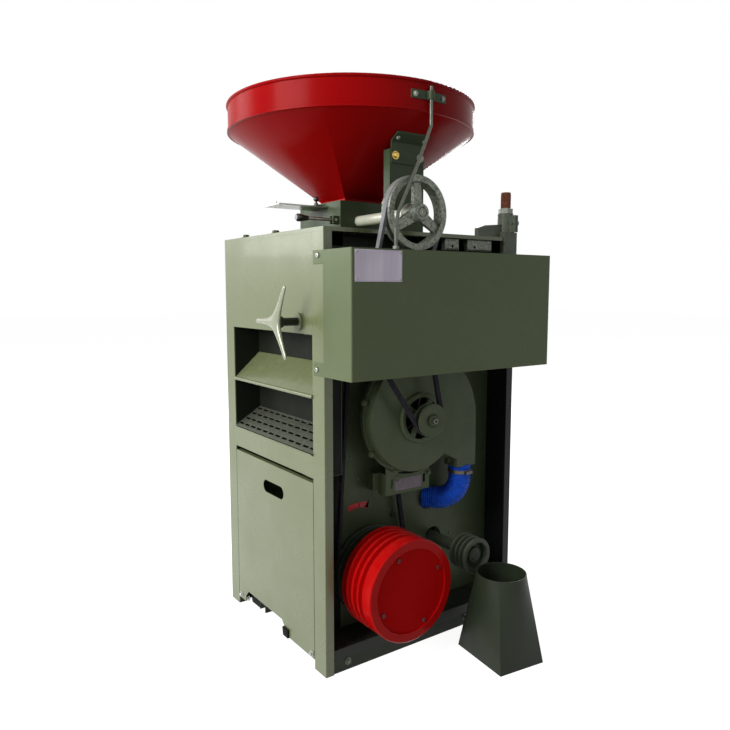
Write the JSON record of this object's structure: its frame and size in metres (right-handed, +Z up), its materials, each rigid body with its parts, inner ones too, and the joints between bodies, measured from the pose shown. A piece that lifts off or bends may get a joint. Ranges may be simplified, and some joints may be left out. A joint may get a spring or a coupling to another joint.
{
  "type": "rice huller",
  "caption": "Floor-standing rice huller: round feed hopper on a sheet-metal cabinet with outlet trays, a drive-belt bay with pulleys, fan and hose, and a loose outlet spout.",
  "frame": {"origin": "centre of the cabinet's footprint on the floor, the middle of its four anchor holes", "axes": "+X along the drive face away from the outlet face, +Z up; the belts and pulleys face -Y and the outlets face -X"},
  "size_m": [0.861, 1.0502, 1.722],
  "materials": {
    "enamel": "gloss enamel",
    "hopper_red": "gloss",
    "black_paint": "satin",
    "cast_grey": "rough",
    "steel": "satin",
    "belt": "matte",
    "rubber_roll": "matte",
    "hose_blue": "satin",
    "knob_black": "gloss"
  },
  "bodies": {
    "cabinet": {"base_frame": "enamel", "post_front_left": "enamel", "post_front_right": "enamel", "post_back_left": "enamel", "post_back_right": "enamel", "top_frame": "enamel", "top_plate": "enamel", "bay_panel": "enamel", "bay_skirt": "black_paint", "right_panel": "enamel", "rear_panel": "enamel", "outlet_upper_panel": "enamel", "outlet_tray": "enamel", "outlet_liner": "enamel", "rice_screen": "steel", "outlet_strip": "enamel", "belt_guard": "enamel", "husker_housing": "cast_grey", "polisher_housing": "cast_grey", "drive_motor": "enamel", "fan_front_casing": "enamel", "fan_rear_casing": "enamel", "fan_bearing_hub": "cast_grey", "fan_bracket": "enamel", "blower_hose": "hose_blue", "hose_clamp": "steel", "feed_box": "enamel", "hopper": "hopper_red", "hopper_strap": "enamel", "hopper_channel": "enamel", "stay_bracket": "enamel", "stay_rod": "steel", "feed_shaft_sleeve": "steel", "tension_clamp": "cast_grey", "hex_bolts": "steel", "roll_belt": "belt", "fan_belt": "belt", "feed_belt": "belt"},
    "main_rotor": {"main_shaft": "steel", "main_pulley": "hopper_red", "pulley_cover": "hopper_red", "rear_pulley": "enamel", "polishing_roller": "cast_grey"},
    "motor_rotor": {"motor_pulley": "enamel"},
    "fan_rotor": {"fan_pulley": "enamel", "fan_impeller": "steel"},
    "fast_roll_rotor": {"fast_roll": "rubber_roll", "roll_pulley": "cast_grey", "roll_drive_pulley": "cast_grey"},
    "slow_roll_rotor": {"slow_roll": "rubber_roll"},
    "feed_rotor": {"feed_pulley": "cast_grey", "feed_roller": "steel"},
    "gate": {"gate_slide": "steel"},
    "gate_lock": {"gate_lock_screw": "knob_black"},
    "gate_lever_arm": {"gate_lever": "steel", "lever_knob": "knob_black"},
    "star": {"star_handle": "enamel"},
    "door": {"lower_door": "enamel"},
    "spout": {"outlet_spout": "enamel"},
    "rod": {"tension_rod": "steel"}
  },
  "joints": [
    {"name": "main_spin", "type": "hinge", "parent": "cabinet", "child": "main_rotor", "pos_m": [-0.148, 0, 0.247], "axis": [0, 1, 0], "continuous": true},
    {"name": "motor_spin", "type": "hinge", "parent": "cabinet", "child": "motor_rotor", "pos_m": [0.125, 0, 0.288], "axis": [0, 1, 0], "continuous": true},
    {"name": "fast_roll_spin", "type": "hinge", "parent": "cabinet", "child": "fast_roll_rotor", "pos_m": [-0.19, 0, 1.1], "axis": [0, 1, 0], "continuous": true},
    {"name": "slow_roll_spin", "type": "hinge", "parent": "cabinet", "child": "slow_roll_rotor", "pos_m": [-0.029, 0, 1.1], "axis": [0, 1, 0], "continuous": true},
    {"name": "fan_spin", "type": "hinge", "parent": "cabinet", "child": "fan_rotor", "pos_m": [-0.03, 0, 0.737], "axis": [0, 1, 0], "continuous": true},
    {"name": "feed_spin", "type": "hinge", "parent": "cabinet", "child": "feed_rotor", "pos_m": [-0.116, 0, 1.349], "axis": [0, 1, 0], "continuous": true},
    {"name": "gate_draw", "type": "slide", "parent": "cabinet", "child": "gate", "axis": [1, 0, 0], "range_m": [0, 0.146]},
    {"name": "gate_lock_turn", "type": "hinge", "parent": "cabinet", "child": "gate_lock", "pos_m": [-0.203, 0, 1.41], "axis": [0, 0, 1], "range_deg": [-180, 180]},
    {"name": "gate_lever_swing", "type": "hinge", "parent": "cabinet", "child": "gate_lever_arm", "pos_m": [-0.199, -0.1, 1.35], "axis": [0, 1, 0], "range_deg": [-14, 20]},
    {"name": "star_turn", "type": "hinge", "parent": "cabinet", "child": "star", "pos_m": [-0.436, -0.19, 1.04], "axis": [1, 0, 0], "range_deg": [-360, 360]},
    {"name": "door_drop", "type": "hinge", "parent": "cabinet", "child": "door", "pos_m": [-0.366, 0, 0.04], "axis": [0, -1, 0], "range_deg": [0, 75]},
    {"name": "spout_slide", "type": "slide", "parent": "cabinet", "child": "spout", "axis": [0, -1, 0], "range_m": [0, 0.25]},
    {"name": "rod_travel", "type": "slide", "parent": "cabinet", "child": "rod", "axis": [0, 0, 1], "range_m": [0, 0.03]}
  ],
  "couplings": [
    {"joint": "fast_roll_spin", "follows": "main_spin", "ratio": 3.1111},
    {"joint": "slow_roll_spin", "follows": "main_spin", "ratio": -2.3932},
    {"joint": "fan_spin", "follows": "main_spin", "ratio": 7.7778},
    {"joint": "feed_spin", "follows": "main_spin", "ratio": 2.6667}
  ]
}
